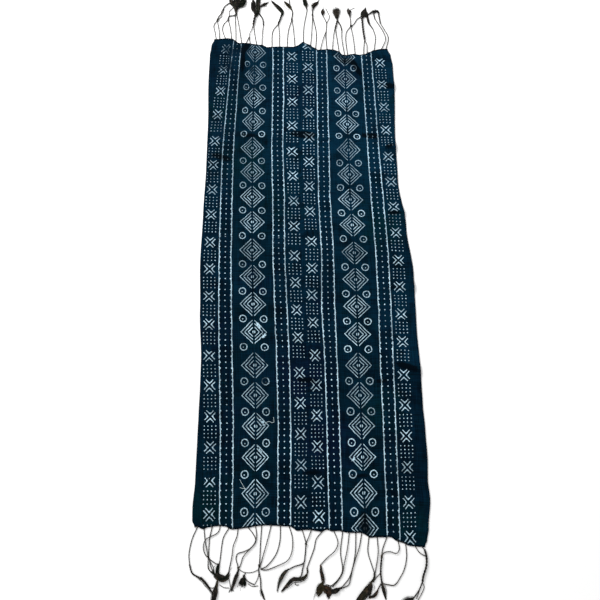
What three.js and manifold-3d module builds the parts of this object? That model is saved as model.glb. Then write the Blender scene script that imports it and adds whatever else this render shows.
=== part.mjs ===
// A long bogolan mud cloth lying flat, with a fringe of twisted cords at each short end.
// Millimetres, +Z up, +Y from the near end to the far end.
import * as THREE from 'three';
import { mergeVertices } from 'three/addons/utils/BufferGeometryUtils.js';
import Module from 'manifold-3d';

// Woven sheet
const CLOTH_THICKNESS = 1.6;
const CLOTH_COLUMNS = 28;
const CLOTH_ROWS = 64;

// Twined edge at each end, parted from the sheet by a hair
const EDGE_GAP = 0.45;
const EDGE_DEPTH = 4;
const EDGE_HEIGHT = 2.4;

// Fringe cords, four-sided and level underneath
const CORD_WIDTH = 2;
const CORD_HEIGHT = 1.8;
const CORD_STATIONS = 5;
const STEM_WIDTH = 3.2;
const STEM_HEIGHT = 2.6;
const STEM_STATIONS = 8;
const TUFT_HEIGHT = 4.5;
// Shares of a stem's length where it starts to fray and where its tuft is full
const FRAY_START = 0.4;
const FRAY_FULL = 0.85;
// Share of the way to the join where a cord bows the most, and how far it has leaned over by then
const SWAY_PLACE = 0.55;
const SWAY_LEAN = 0.3;
// Knot of a lock: how far apart its cords enter it and how deep, its share of the stem, how much each
// next cord stands above the last where they cross, and how much lower a forked stem's second arm lies
const KNOT_SPREAD = 1.3;
const KNOT_BITE = 3;
const KNOT_SHARE = 0.2;
const CORD_STEP = 0.14;
const SLIM_FORK = 0.9;

// Side edges: share of the length from the near end, and where the left and right edges lie there
const SIDE_EDGES = [
  { along: 0, left: -228, right: 224 },
  { along: 0.03, left: -235, right: 236 },
  { along: 0.08, left: -233, right: 240 },
  { along: 0.2, left: -231, right: 236 },
  { along: 0.3, left: -230, right: 233 },
  { along: 0.4, left: -235, right: 228 },
  { along: 0.5, left: -238, right: 225 },
  { along: 0.6, left: -235, right: 215 },
  { along: 0.7, left: -233, right: 202 },
  { along: 0.8, left: -233, right: 197 },
  { along: 0.9, left: -235, right: 199 },
  { along: 0.96, left: -235, right: 198 },
  { along: 0.985, left: -232, right: 194 },
  { along: 1, left: -226, right: 186 },
];

// Ends: share of the width from the left, and where the outer rim of the twined edge lies there
const NEAR_END = [
  { across: 0, y: -535 },
  { across: 0.04, y: -538 },
  { across: 0.11, y: -533 },
  { across: 0.17, y: -538 },
  { across: 0.28, y: -532 },
  { across: 0.42, y: -533 },
  { across: 0.46, y: -541 },
  { across: 0.56, y: -543 },
  { across: 0.73, y: -546 },
  { across: 0.78, y: -554 },
  { across: 0.85, y: -555 },
  { across: 0.89, y: -563 },
  { across: 0.95, y: -570 },
  { across: 1, y: -571 },
];
const FAR_END = [
  { across: 0, y: 573 },
  { across: 0.1, y: 574 },
  { across: 0.16, y: 562 },
  { across: 0.28, y: 558 },
  { across: 0.34, y: 551 },
  { across: 0.46, y: 552 },
  { across: 0.52, y: 561 },
  { across: 0.57, y: 552 },
  { across: 0.7, y: 545 },
  { across: 0.76, y: 533 },
  { across: 0.84, y: 532 },
  { across: 0.92, y: 545 },
  { across: 1, y: 546 },
];

// Soft folds: middle of the ridge, its heading in degrees from +X, half length, half width and rise
const FOLDS = [
  { x: -172, y: 491, heading: 85, halfLength: 80, halfWidth: 26, rise: 8 },
  { x: 101, y: 501, heading: -48, halfLength: 38, halfWidth: 18, rise: 5 },
  { x: -125, y: 322, heading: 0, halfLength: 78, halfWidth: 20, rise: 4 },
  { x: 71, y: 312, heading: -8, halfLength: 125, halfWidth: 22, rise: 5 },
  { x: 45, y: 41, heading: -1, halfLength: 160, halfWidth: 22, rise: 4 },
  { x: 207, y: -212, heading: -26, halfLength: 52, halfWidth: 20, rise: 5 },
  { x: 52, y: -250, heading: -4, halfLength: 110, halfWidth: 20, rise: 4 },
  { x: -1, y: -429, heading: 0, halfLength: 58, halfWidth: 20, rise: 3.5 },
  { x: 148, y: -464, heading: -33, halfLength: 66, halfWidth: 20, rise: 5 },
  { x: 103, y: -510, heading: 90, halfLength: 46, halfWidth: 20, rise: 4 },
  { x: 188, y: 445, heading: 10, halfLength: 48, halfWidth: 18, rise: 4 },
  { x: 192, y: 292, heading: -12, halfLength: 46, halfWidth: 18, rise: 4 },
  { x: 206, y: 133, heading: 6, halfLength: 44, halfWidth: 18, rise: 3.5 },
  { x: 224, y: -40, heading: 8, halfLength: 44, halfWidth: 18, rise: 4 },
];
// Share of the length over which the folds die away towards each end
const CALM_END = 0.04;

// Fringe locks: where the cords leave the edge, how far each bows aside on its way, where they join,
// and the ends of the joined stem, each with its route from the join and the width of its frayed tuft
const FAR_LOCKS = [
  { roots: [-221, -213], bows: [0, -1], join: [-221, 622],
    ends: [{ route: [[-208, 652], [-193, 668]], tuft: 7 }] },
  { roots: [-199, -184, -174, -160], bows: [-12, -8, 0, -2], join: [-176, 640],
    ends: [{ route: [[-174, 655], [-170, 686]], tuft: 25 }] },
  { roots: [-150, -140, -124, -112], bows: [4, -3, -3, 7], join: [-132, 614],
    ends: [
      { route: [[-128, 645], [-127, 676]], tuft: 19 },
      { route: [[-124, 640], [-102, 671]], tuft: 6 },
    ] },
  { roots: [-88, -70], bows: [-2, 0], join: [-74, 615],
    ends: [{ route: [[-64, 646], [-87, 677]], tuft: 8 }] },
  { roots: [-52, -33], bows: [0, -1], join: [-40, 626],
    ends: [{ route: [[-43, 654], [-55, 682]], tuft: 8 }] },
  { roots: [-13], bows: [0], join: [-11, 604],
    ends: [{ route: [[-4, 653], [-11, 686]], tuft: 6 }] },
  { roots: [4, 16], bows: [1, 5], join: [9, 630],
    ends: [{ route: [[10, 660], [25, 682]], tuft: 7 }] },
  { roots: [27, 43], bows: [2, 0], join: [41, 590],
    ends: [{ route: [[43, 618], [34, 658]], tuft: 8 }] },
  { roots: [56, 72, 85], bows: [2, -4, 0], join: [66, 612],
    ends: [{ route: [[68, 624], [66, 660]], tuft: 14 }] },
  { roots: [92, 110], bows: [-7, -3], join: [102, 607],
    ends: [
      { route: [[101, 631], [99, 657]], tuft: 6 },
      { route: [[110, 614], [116, 628]], tuft: 4 },
    ] },
  { roots: [130, 138, 155], bows: [2, -3, 10], join: [129, 620],
    ends: [{ route: [[128, 633], [136, 659]], tuft: 16 }] },
  { roots: [172, 183], bows: [13, 11], join: [169, 622],
    ends: [{ route: [[163, 645], [150, 651]], tuft: 8 }] },
];
const NEAR_LOCKS = [
  { roots: [-224], bows: [-7], join: [-239, -600],
    ends: [{ route: [[-222, -628], [-194, -646]], tuft: 4 }] },
  { roots: [-212, -195, -179], bows: [1, -3, -26], join: [-201, -594],
    ends: [{ route: [[-198, -606], [-192, -621]], tuft: 5 }] },
  { roots: [-162], bows: [-3], join: [-181, -605],
    ends: [{ route: [[-183, -632], [-186, -680]], tuft: 10 }] },
  { roots: [-144], bows: [-2], join: [-160, -606],
    ends: [{ route: [[-164, -620], [-173, -629]], tuft: 9 }] },
  { roots: [-125, -110], bows: [11, 0], join: [-143, -611],
    ends: [
      { route: [[-148, -622], [-156, -650]], tuft: 8 },
      { route: [[-134, -622], [-130, -645]], tuft: 14 },
    ] },
  { roots: [-97, -78, -60, -43], bows: [-1, -5, 6, 22], join: [-103, -613],
    ends: [
      { route: [[-98, -640], [-92, -667]], tuft: 6 },
      { route: [[-106, -630], [-113, -644]], tuft: 5 },
    ] },
  { roots: [-17, 2], bows: [2, 2], join: [-10, -566],
    ends: [{ route: [[-14, -598], [-41, -612], [-62, -634], [-66, -654]], tuft: 7 }] },
  { roots: [25], bows: [-3], join: [-5, -603],
    ends: [{ route: [[-8, -616], [-24, -625], [-41, -633], [-54, -652]], tuft: 9 }] },
  { roots: [46], bows: [10], join: [30, -594],
    ends: [{ route: [[20, -606], [24, -634]], tuft: 6 }] },
  { roots: [64, 77, 90, 102], bows: [-4, -2, 5, 4], join: [61, -625],
    ends: [{ route: [[51, -643], [23, -654]], tuft: 20 }] },
  { roots: [116, 132], bows: [-6, 4], join: [125, -622],
    ends: [{ route: [[114, -644], [98, -682]], tuft: 9 }] },
  { roots: [152, 173], bows: [-3, 9], join: [139, -586],
    ends: [{ route: [[140, -615], [142, -662]], tuft: 7 }] },
  { roots: [188], bows: [3], join: [183, -612],
    ends: [{ route: [[168, -637], [149, -642]], tuft: 4 }] },
  { roots: [206, 219], bows: [0, 4], join: [228, -592],
    ends: [{ route: [[220, -622], [216, -642], [183, -683]], tuft: 10 }] },
];

const wasm = await Module();
wasm.setup();

// Smooth reading of one column of a table between its rows
function read(table, key, column, at) {
  const last = table.length - 1;
  let row = 0;
  while (row < last - 1 && table[row + 1][key] < at) {
    row += 1;
  }
  const from = table[row];
  const to = table[row + 1];
  const share = THREE.MathUtils.smoothstep(at, from[key], to[key]);
  return THREE.MathUtils.lerp(from[column], to[column], share);
}

// Place on the floor of a share across and a share along the sheet
function place(across, along) {
  const left = read(SIDE_EDGES, 'along', 'left', along);
  const right = read(SIDE_EDGES, 'along', 'right', along);
  const near = read(NEAR_END, 'across', 'y', across) + EDGE_DEPTH + EDGE_GAP;
  const far = read(FAR_END, 'across', 'y', across) - EDGE_DEPTH - EDGE_GAP;
  return new THREE.Vector2(
    THREE.MathUtils.lerp(left, right, across),
    THREE.MathUtils.lerp(near, far, along),
  );
}

function bump(share) {
  return Math.abs(share) < 1 ? Math.cos(share * Math.PI / 2) ** 2 : 0;
}

// Height of the sheet's underside above the floor
function foldRise(x, y, along) {
  let rise = 0;
  for (const fold of FOLDS) {
    const heading = THREE.MathUtils.degToRad(fold.heading);
    const dx = x - fold.x;
    const dy = y - fold.y;
    const run = dx * Math.cos(heading) + dy * Math.sin(heading);
    const aside = dy * Math.cos(heading) - dx * Math.sin(heading);
    rise += fold.rise * bump(run / fold.halfLength) * bump(aside / fold.halfWidth);
  }
  const calmNear = THREE.MathUtils.smoothstep(along, 0, CALM_END);
  const calmFar = THREE.MathUtils.smoothstep(1 - along, 0, CALM_END);
  return rise * calmNear * calmFar;
}

// A block with its corners joined, each point moved by a rule
function bentBlock(columns, rows, rule) {
  const block = new THREE.BoxGeometry(1, 1, 1, columns, rows, 1);
  block.deleteAttribute('normal');
  block.deleteAttribute('uv');
  const joined = mergeVertices(block, 1e-6);
  const points = joined.attributes.position;
  for (let i = 0; i < points.count; i += 1) {
    const moved = rule(points.getX(i) + 0.5, points.getY(i) + 0.5, points.getZ(i) + 0.5);
    points.setXYZ(i, moved.x, moved.y, moved.z);
  }
  return joined;
}

function sheetBlock() {
  return bentBlock(CLOTH_COLUMNS, CLOTH_ROWS, (across, along, up) => {
    const at = place(across, along);
    return new THREE.Vector3(at.x, at.y, foldRise(at.x, at.y, along) + up * CLOTH_THICKNESS);
  });
}

// Twined edge beside the near end (outward -1) or the far end (outward 1)
function edgeBlock(outward) {
  return bentBlock(CLOTH_COLUMNS, 1, (across, deep, up) => {
    const at = place(across, outward > 0 ? 1 : 0);
    const out = outward > 0 ? deep : 1 - deep;
    const y = at.y + outward * (EDGE_GAP + out * EDGE_DEPTH);
    return new THREE.Vector3(at.x, y, up * EDGE_HEIGHT);
  });
}

// A four-sided strand along a route on the floor, with its width and height at each share of it
function strandBlock(route, stations, widthAt, heightAt) {
  const curve = new THREE.CatmullRomCurve3(route, false, 'centripetal');
  return bentBlock(1, stations, (side, share, up) => {
    const at = curve.getPointAt(share);
    const ahead = curve.getTangentAt(share);
    const aside = (side - 0.5) * widthAt(share);
    return new THREE.Vector3(at.x + ahead.y * aside, at.y - ahead.x * aside, up * heightAt(share));
  });
}

// Middle of the twined edge at a distance x from the middle of the cloth, on its straight facet there
function rootPlace(x, outward) {
  const along = outward > 0 ? 1 : 0;
  const left = place(0, along).x;
  const right = place(1, along).x;
  const column = CLOTH_COLUMNS * (x - left) / (right - left);
  const from = place(Math.floor(column) / CLOTH_COLUMNS, along);
  const to = place(Math.ceil(column) / CLOTH_COLUMNS, along);
  const y = THREE.MathUtils.lerp(from.y, to.y, column - Math.floor(column));
  return new THREE.Vector3(x, y + outward * (EDGE_GAP + EDGE_DEPTH / 2), 0);
}

function floorPoint([x, y]) {
  return new THREE.Vector3(x, y, 0);
}

// A thin cord from its root at the edge into the knot of its lock, beside its neighbours there
function cordBlock(x, bow, join, ahead, aside, height, outward) {
  const root = rootPlace(x, outward);
  const sway = new THREE.Vector3(
    THREE.MathUtils.lerp(root.x, join.x, SWAY_LEAN) + bow,
    THREE.MathUtils.lerp(root.y, join.y, SWAY_PLACE),
    0,
  );
  const meet = join.clone().add(new THREE.Vector3(aside, 0, 0));
  const inside = meet.clone().addScaledVector(ahead, KNOT_BITE);
  return strandBlock([root, sway, meet, inside], CORD_STATIONS, () => CORD_WIDTH, () => height);
}

// A thicker stem from the knot, widening into its frayed tuft
function stemBlock(join, end, knotWidth, slim) {
  const fray = (share) => THREE.MathUtils.smoothstep(share, FRAY_START, FRAY_FULL);
  const neck = (share) => THREE.MathUtils.smoothstep(share, 0, KNOT_SHARE);
  const width = (share) => THREE.MathUtils.lerp(
    THREE.MathUtils.lerp(knotWidth, STEM_WIDTH, neck(share)),
    end.tuft,
    fray(share),
  );
  const height = (share) => slim * THREE.MathUtils.lerp(STEM_HEIGHT, TUFT_HEIGHT, fray(share));
  return strandBlock([join, ...end.route.map(floorPoint)], STEM_STATIONS, width, height);
}

function lockBlocks(lock, outward) {
  const join = floorPoint(lock.join);
  const ahead = floorPoint(lock.ends[0].route[0]).sub(join).normalize();
  const middle = (lock.roots.length - 1) / 2;
  const knotWidth = STEM_WIDTH + 2 * middle * KNOT_SPREAD;
  const cords = lock.roots.map((x, i) => {
    const aside = (i - middle) * KNOT_SPREAD;
    const height = CORD_HEIGHT + i * CORD_STEP;
    return cordBlock(x, lock.bows[i], join, ahead, aside, height, outward);
  });
  const stems = lock.ends.map((end, i) => stemBlock(join, end, knotWidth, SLIM_FORK ** i));
  return [...cords, ...stems];
}

function solidOf(block) {
  const mesh = new wasm.Mesh({
    numProp: 3,
    vertProperties: new Float32Array(block.attributes.position.array),
    triVerts: new Uint32Array(block.index.array),
  });
  return new wasm.Manifold(mesh);
}

function fringeGeometry(locks, outward) {
  const blocks = [edgeBlock(outward)];
  for (const lock of locks) {
    blocks.push(...lockBlocks(lock, outward));
  }
  const joined = wasm.Manifold.union(blocks.map(solidOf)).getMesh();
  const geometry = new THREE.BufferGeometry();
  geometry.setAttribute('position', new THREE.BufferAttribute(new Float32Array(joined.vertProperties), 3));
  geometry.setIndex(new THREE.BufferAttribute(new Uint32Array(joined.triVerts), 1));
  return geometry;
}

const indigo = new THREE.MeshStandardMaterial({ color: 0x0b2236, roughness: 0.95 });
const darkCordFar = new THREE.MeshStandardMaterial({ color: 0x221f1e, roughness: 0.95 });
const darkCordNear = new THREE.MeshStandardMaterial({ color: 0x221f1e, roughness: 0.95 });

const pieces = [
  ['cloth', sheetBlock(), indigo],
  ['fringe_far', fringeGeometry(FAR_LOCKS, 1), darkCordFar],
  ['fringe_near', fringeGeometry(NEAR_LOCKS, -1), darkCordNear],
];

// The frame's origin is the middle of the whole cloth, on the floor
const extent = new THREE.Box3();
for (const [, geometry] of pieces) {
  geometry.computeBoundingBox();
  extent.union(geometry.boundingBox);
}
const middle = extent.getCenter(new THREE.Vector3());

const group = new THREE.Group();
group.name = 'bogolan_mud_cloth';
for (const [name, geometry, material] of pieces) {
  geometry.translate(-middle.x, -middle.y, -extent.min.z);
  geometry.computeVertexNormals();
  const mesh = new THREE.Mesh(geometry, material);
  mesh.name = name;
  group.add(mesh);
}

export default group;
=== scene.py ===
# %% [markdown]
# # A bogolan mud cloth, laid out flat
# Bogolan is handwoven cotton, dyed dark and marked by hand with pale signs. This one is a long runner
# with a loose fringe at both short ends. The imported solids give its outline, its folds and the place of
# every fringe lock, and each step below puts the real surface in the place of one of them.

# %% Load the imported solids
import math
import random
from collections import namedtuple

import bmesh
import bpy
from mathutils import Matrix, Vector


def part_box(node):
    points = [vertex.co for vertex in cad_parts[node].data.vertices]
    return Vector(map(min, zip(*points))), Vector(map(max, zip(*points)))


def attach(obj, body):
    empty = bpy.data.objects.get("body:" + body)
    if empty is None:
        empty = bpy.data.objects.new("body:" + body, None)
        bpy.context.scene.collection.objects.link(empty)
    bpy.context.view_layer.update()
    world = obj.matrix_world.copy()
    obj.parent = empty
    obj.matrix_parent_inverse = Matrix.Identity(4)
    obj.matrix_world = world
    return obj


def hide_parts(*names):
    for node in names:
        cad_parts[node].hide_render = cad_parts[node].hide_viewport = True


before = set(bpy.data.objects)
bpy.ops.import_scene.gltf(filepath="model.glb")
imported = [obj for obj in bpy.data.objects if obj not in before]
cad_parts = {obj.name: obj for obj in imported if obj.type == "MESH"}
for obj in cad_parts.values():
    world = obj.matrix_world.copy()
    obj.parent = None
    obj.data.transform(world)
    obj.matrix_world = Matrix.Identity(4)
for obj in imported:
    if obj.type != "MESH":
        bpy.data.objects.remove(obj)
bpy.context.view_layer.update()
MM = 0.001
print("solids:", sorted(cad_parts))

# %% [markdown]
# ## The outline
# A handwoven cloth is never a true rectangle. Its selvedges wander and its ends are pulled into small
# steps by the cords. A short table gives the two selvedges at shares of the length, and two more give
# the rims of the ends at shares of the width. Reading them with a smooth step makes one soft outline.

# %% Tables of the outline, in millimetres
Side = namedtuple("Side", "along left right")
SIDE_EDGES = [
    Side(0, -231, 226), Side(0.01, -236, 231), Side(0.03, -236.5, 235), Side(0.08, -233, 240.5),
    Side(0.113, -232.5, 237.6), Side(0.151, -231.8, 239), Side(0.2, -231, 237), Side(0.25, -230, 234),
    Side(0.3, -230, 233), Side(0.4, -236, 228), Side(0.5, -239.5, 226.5), Side(0.6, -237, 214.5),
    Side(0.7, -234, 200), Side(0.8, -233.5, 197.5), Side(0.9, -236, 200),
    Side(0.96, -235, 198), Side(0.985, -232, 194), Side(1, -226, 187),
]
Rim = namedtuple("Rim", "across y")
NEAR_END = [
    Rim(0, -536), Rim(0.017, -534.5), Rim(0.035, -540), Rim(0.056, -536), Rim(0.087, -534),
    Rim(0.11, -533), Rim(0.139, -534.5), Rim(0.16, -540), Rim(0.19, -539), Rim(0.225, -537),
    Rim(0.277, -533), Rim(0.312, -532), Rim(0.416, -534), Rim(0.45, -542.5), Rim(0.472, -541),
    Rim(0.5, -540.5), Rim(0.537, -543), Rim(0.554, -544.5), Rim(0.576, -540), Rim(0.6, -543.5),
    Rim(0.623, -542.5), Rim(0.675, -546), Rim(0.727, -546), Rim(0.75, -551.5), Rim(0.766, -555.5),
    Rim(0.788, -554.5), Rim(0.822, -554.5), Rim(0.853, -554), Rim(0.879, -561), Rim(0.9, -564.5),
    Rim(0.94, -571), Rim(0.97, -572), Rim(1, -573),
]
FAR_END = [
    Rim(0, 573), Rim(0.08, 575.5), Rim(0.1, 574.5), Rim(0.147, 562.5), Rim(0.17, 563), Rim(0.28, 557.5),
    Rim(0.305, 551.5), Rim(0.33, 552), Rim(0.36, 553), Rim(0.46, 552.5), Rim(0.49, 557), Rim(0.51, 566),
    Rim(0.53, 562), Rim(0.555, 557), Rim(0.575, 550.5), Rim(0.6, 544.5), Rim(0.62, 545), Rim(0.66, 546),
    Rim(0.69, 544.5), Rim(0.72, 540), Rim(0.735, 532), Rim(0.76, 530), Rim(0.78, 531.5), Rim(0.8, 533.5),
    Rim(0.84, 531), Rim(0.87, 533), Rim(0.895, 538), Rim(0.92, 543), Rim(0.96, 546.5), Rim(1, 547),
]
EDGE_DEPTH = 4
EDGE_GAP = 0.45
CLOTH_THICKNESS = 1.6
# How far the sheet runs into the twined rim of each end
RIM_TUCK = 2.4


def smooth_step(low, high, value):
    share = min(max((value - low) / (high - low), 0), 1)
    return share * share * (3 - 2 * share)


def mix(start, end, share):
    return start + (end - start) * share


def read(table, column, at):
    row = 0
    while row < len(table) - 2 and table[row + 1][0] < at:
        row += 1
    start, end = table[row], table[row + 1]
    return mix(getattr(start, column), getattr(end, column), smooth_step(start[0], end[0], at))


def rim_y(across, far):
    return read(FAR_END if far else NEAR_END, "y", across)


def place(across, along):
    x = mix(read(SIDE_EDGES, "left", along), read(SIDE_EDGES, "right", along), across)
    inset = EDGE_DEPTH + EDGE_GAP - RIM_TUCK
    y = mix(rim_y(across, False) + inset, rim_y(across, True) - inset, along)
    return x, y


# The tables are written around the middle of the cloth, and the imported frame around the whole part.
# The solid's right and far ends in the tables' millimetres tell how far apart the two are.
cloth_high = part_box("cloth")[1]
SOLID_RIGHT = 240
SOLID_FAR = 569.55
SHIFT_X = cloth_high[0] / MM - SOLID_RIGHT
SHIFT_Y = cloth_high[1] / MM - SOLID_FAR


def in_frame(x, y, z=0.0):
    return Vector(((x + SHIFT_X) * MM, (y + SHIFT_Y) * MM, z * MM))


print(f"tables lie {SHIFT_X:.2f} and {SHIFT_Y:.2f} mm from the frame's middle")

# %% [markdown]
# ## The folds
# Cotton that was folded and then spread out keeps soft ridges. Each row is one ridge: its middle, its
# heading, its half length and half width, and its rise. The first rows are the solid's own folds. The
# rows after them are the sharp creases, too narrow for the solid: each also has a shade, the strength of
# a painted shade that darkens the colour in the crease. The shade is kept on the sheet as an attribute.

# %% Tables of the folds, in millimetres and degrees
Fold = namedtuple("Fold", "x y heading half_length half_width rise")
FOLDS = [
    Fold(-172, 491, 85, 80, 26, 8), Fold(101, 501, -48, 38, 18, 5), Fold(-125, 322, 0, 78, 20, 4),
    Fold(71, 312, -8, 125, 22, 5), Fold(45, 41, -1, 160, 22, 4), Fold(207, -212, -26, 52, 20, 5),
    Fold(52, -250, -4, 110, 20, 4), Fold(-1, -429, 0, 58, 20, 3.5), Fold(148, -464, -33, 66, 20, 5),
    Fold(103, -510, 90, 46, 20, 4), Fold(188, 445, 10, 48, 18, 4), Fold(192, 292, -12, 46, 18, 4),
    Fold(206, 133, 6, 44, 18, 3.5), Fold(224, -40, 8, 44, 18, 4),
]
Crease = namedtuple("Crease", "x y heading half_length half_width rise shade")
CREASES = [
    Crease(-156, 512, -92, 60, 10, 0.9, 1.0), Crease(113, 492, -60, 36, 11, 1.4, 1.3),
    Crease(-138, 319, -2, 46, 9, 1.0, 0.7), Crease(-14, 322, -6, 46, 13, 1.2, 1.7),
    Crease(140, 319, -4, 36, 11, 1.0, 1.4), Crease(184, 293, 16, 24, 9, 1.2, 0.9),
    Crease(-200, 266, -17, 42, 12, 1.4, 1.2), Crease(189, 131, 0, 30, 9, 1.3, 1.0),
    Crease(188, -41, 3, 36, 9, 1.1, 0.7), Crease(204, -214, -17, 46, 12, 0.9, 1.2),
    Crease(-6, -243, -6, 42, 11, 1.1, 1.1), Crease(149, -244, 6, 28, 9, 1.0, 0.9),
    Crease(2, -430, 2, 40, 9, 0.8, 0.8), Crease(168, -472, -29, 46, 9, 0.9, 0.6),
    Crease(107, -526, -82, 34, 14, 0.8, 1.4), Crease(-150, 550, 60, 26, 12, 0.6, 1.1),
    Crease(104, -436, 0, 26, 9, 0.6, 0.8), Crease(188, 446, -4, 26, 15, 0.5, 1.0),
    Crease(92, 512, -8, 32, 13, 0.6, 1.2),
]
CALM_END = 0.04


def bump(share):
    return math.cos(share * math.pi / 2) ** 2 if abs(share) < 1 else 0.0


def swell(fold, x, y):
    heading = math.radians(fold.heading)
    dx, dy = x - fold.x, y - fold.y
    run = dx * math.cos(heading) + dy * math.sin(heading)
    aside = dy * math.cos(heading) - dx * math.sin(heading)
    return bump(run / fold.half_length) * bump(aside / fold.half_width)


def rise(x, y, along):
    calm = smooth_step(0, CALM_END, along) * smooth_step(0, CALM_END, 1 - along)
    return calm * sum(fold.rise * swell(fold, x, y) for fold in FOLDS + CREASES)


# The painted shade of the sharp creases: how far their colour is darkened where light would be lost
def crease_shade(x, y):
    return min(1.0, sum(crease.shade * swell(crease, x, y) for crease in CREASES))


print(f"{len(FOLDS)} folds and {len(CREASES)} sharp creases")

# %% [markdown]
# ## The chart of the marks
# The marks were stencilled: one stencil is half the cloth wide and four diamond rows long, and it was
# moved across and down by hand. So the chart is a stencil of fixed sizes, with one table that says where
# its columns fell along the cloth and another that says where each print of it began. Together they turn
# a place on the cloth into a place on the stencil, which goes into a UV map for the material to read.

# %% Where the stencil fell on the cloth, in millimetres
STENCIL_WIDTH = 224
CROSS_COLUMN = 94
ROW_PITCH = 61
Columns = namedtuple("Columns", "y cross_a diamond_a cross_b cross_c diamond_c cross_d")
COLUMN_PLACES = [
    Columns(530, -197, -128, -41, -1, 85, 166), Columns(412, -208, -129, -39, 0, 87, 173),
    Columns(285, -217, -130, -40, 0, 90, 179), Columns(164, -219, -128, -35, 0, 92, 187),
    Columns(40, -219, -126, -34, 6, 98, 194), Columns(-82, -217, -122, -28, 4, 102, 196),
    Columns(-212, -212, -116, -22, 12, 102, 197), Columns(-337, -206, -112, -19, 14, 106, 197),
    Columns(-471, -203, -111, -19, 16, 108, 197),
]
COLUMN_CHART = [
    -CROSS_COLUMN, 0, CROSS_COLUMN,
    STENCIL_WIDTH - CROSS_COLUMN, STENCIL_WIDTH, STENCIL_WIDTH + CROSS_COLUMN,
]
# Each print: its first diamond row and row pitch on both halves, and how much nearer than the stencil
# says each of the four cross columns came out
Print = namedtuple("Print", "left_y left_pitch right_y right_pitch nudges")
PRINTS = [
    Print(536, 60.7, 524, 58.9, (-1, -5, -3, -5)), Print(288, 60, 283, 60.6, (-1, -5, -5, -2)),
    Print(43, 61.1, 36, 60.4, (0, -1, 1, -3)), Print(-212, 63, -212, 62.7, (-5, 4, 4, 3)),
    Print(-472, 66, -471, 67, (-10, 4, 5, -1)),
]
# A fold at the far corner draws the marks of the first cross column nearer
Pucker = namedtuple("Pucker", "column y reach shift")
PUCKERS = [Pucker(0, 549, 120, 12)]
ROWS_PER_PRINT = 4
PRINT_STRIDE = ROWS_PER_PRINT + 1
# How far above its first diamond row a print reaches, in each column of it
DIAMOND_HEADROOM = 30
RING_HEADROOM = 22
RING_ZONE = (12, 34)
CROSS_ZONE = 78
CROSS_HEADROOM = (31, 5, 41, 1)


def columns_at(y):
    row = 0
    while row < len(COLUMN_PLACES) - 2 and COLUMN_PLACES[row + 1].y > y:
        row += 1
    start, end = COLUMN_PLACES[row], COLUMN_PLACES[row + 1]
    share = (start.y - y) / (start.y - end.y)
    return [mix(a, b, share) for a, b in zip(start[1:], end[1:])]


def chart_across(x, y):
    places = columns_at(y)
    if x <= places[0]:
        return COLUMN_CHART[0] + x - places[0]
    if x >= places[-1]:
        return COLUMN_CHART[-1] + x - places[-1]
    column = max(i for i in range(len(places) - 1) if places[i] <= x)
    share = (x - places[column]) / (places[column + 1] - places[column])
    return mix(COLUMN_CHART[column], COLUMN_CHART[column + 1], share)


def lean(across):
    return across / STENCIL_WIDTH


def beside_diamonds(across):
    return across - STENCIL_WIDTH * int(across > STENCIL_WIDTH / 2)


def cross_column(across):
    beside = beside_diamonds(across)
    if abs(beside) < CROSS_ZONE:
        return None
    return 2 * int(across > STENCIL_WIDTH / 2) + int(beside > 0)


def headroom(across):
    column = cross_column(across)
    if column is not None:
        return CROSS_HEADROOM[column]
    in_rings = RING_ZONE[0] < abs(beside_diamonds(across)) < RING_ZONE[1]
    return RING_HEADROOM if in_rings else DIAMOND_HEADROOM


def print_at(x, y):
    across = chart_across(x, y)
    number = 0
    for i, stencil in enumerate(PRINTS):
        if y < mix(stencil.left_y, stencil.right_y, lean(across)) + headroom(across):
            number = i
    return number


def chart(x, y, number, column):
    stencil = PRINTS[number]
    across = chart_across(x, y)
    first = mix(stencil.left_y, stencil.right_y, lean(across))
    pitch = mix(stencil.left_pitch, stencil.right_pitch, lean(across))
    nudge = 0 if column is None else stencil.nudges[column]
    here = [pucker for pucker in PUCKERS if pucker.column == column]
    nudge += sum(pucker.shift * bump((y - pucker.y) / pucker.reach) for pucker in here)
    return across / STENCIL_WIDTH, number * PRINT_STRIDE + (first - y - nudge) / pitch


# Places where the pale dye ran between the outlines, and where a mark is faint: worn away in some, and in
# others hidden under the painted shade of a crease
Spot = namedtuple("Spot", "x y radius amount")
BLOTS = [
    Spot(-111, -122, 7, 1), Spot(-108, -129, 7, 1), Spot(-96, -146, 6.5, 1), Spot(-100, -150, 6, 0.9),
    Spot(-103, -324, 6, 0.7), Spot(-98, -329, 6.5, 0.9), Spot(-94, -334, 6, 0.8), Spot(-107, -378, 6, 0.7),
    Spot(-104, -385, 6.5, 0.9), Spot(-100, -391, 6, 0.8), Spot(89, -402, 6, 1), Spot(86, -406, 5.5, 0.8),
]
WORN_AND_SHADED_SPOTS = [
    Spot(-96, -243, 16, 1), Spot(-93, -205, 9, 1.2), Spot(-91, -222, 8, 1.2), Spot(85, 535, 34, 1),
    Spot(-197, 549, 26, 0.6), Spot(-176, 535, 24, 0.8), Spot(-178, 500, 20, 1), Spot(-205, 500, 60, 0.5),
    Spot(-150, 548, 26, 0.9), Spot(-194, -137, 5, 1), Spot(-168, -148, 5, 1), Spot(-75, -125, 5, 1),
    Spot(-49, -131, 5, 1), Spot(107, -540, 26, 1), Spot(-140, 498, 20, 0.7), Spot(-101, 502, 18, 0.6),
    Spot(-130, 480, 26, 0.5), Spot(2, 557, 24, 0.7),
]
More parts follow.
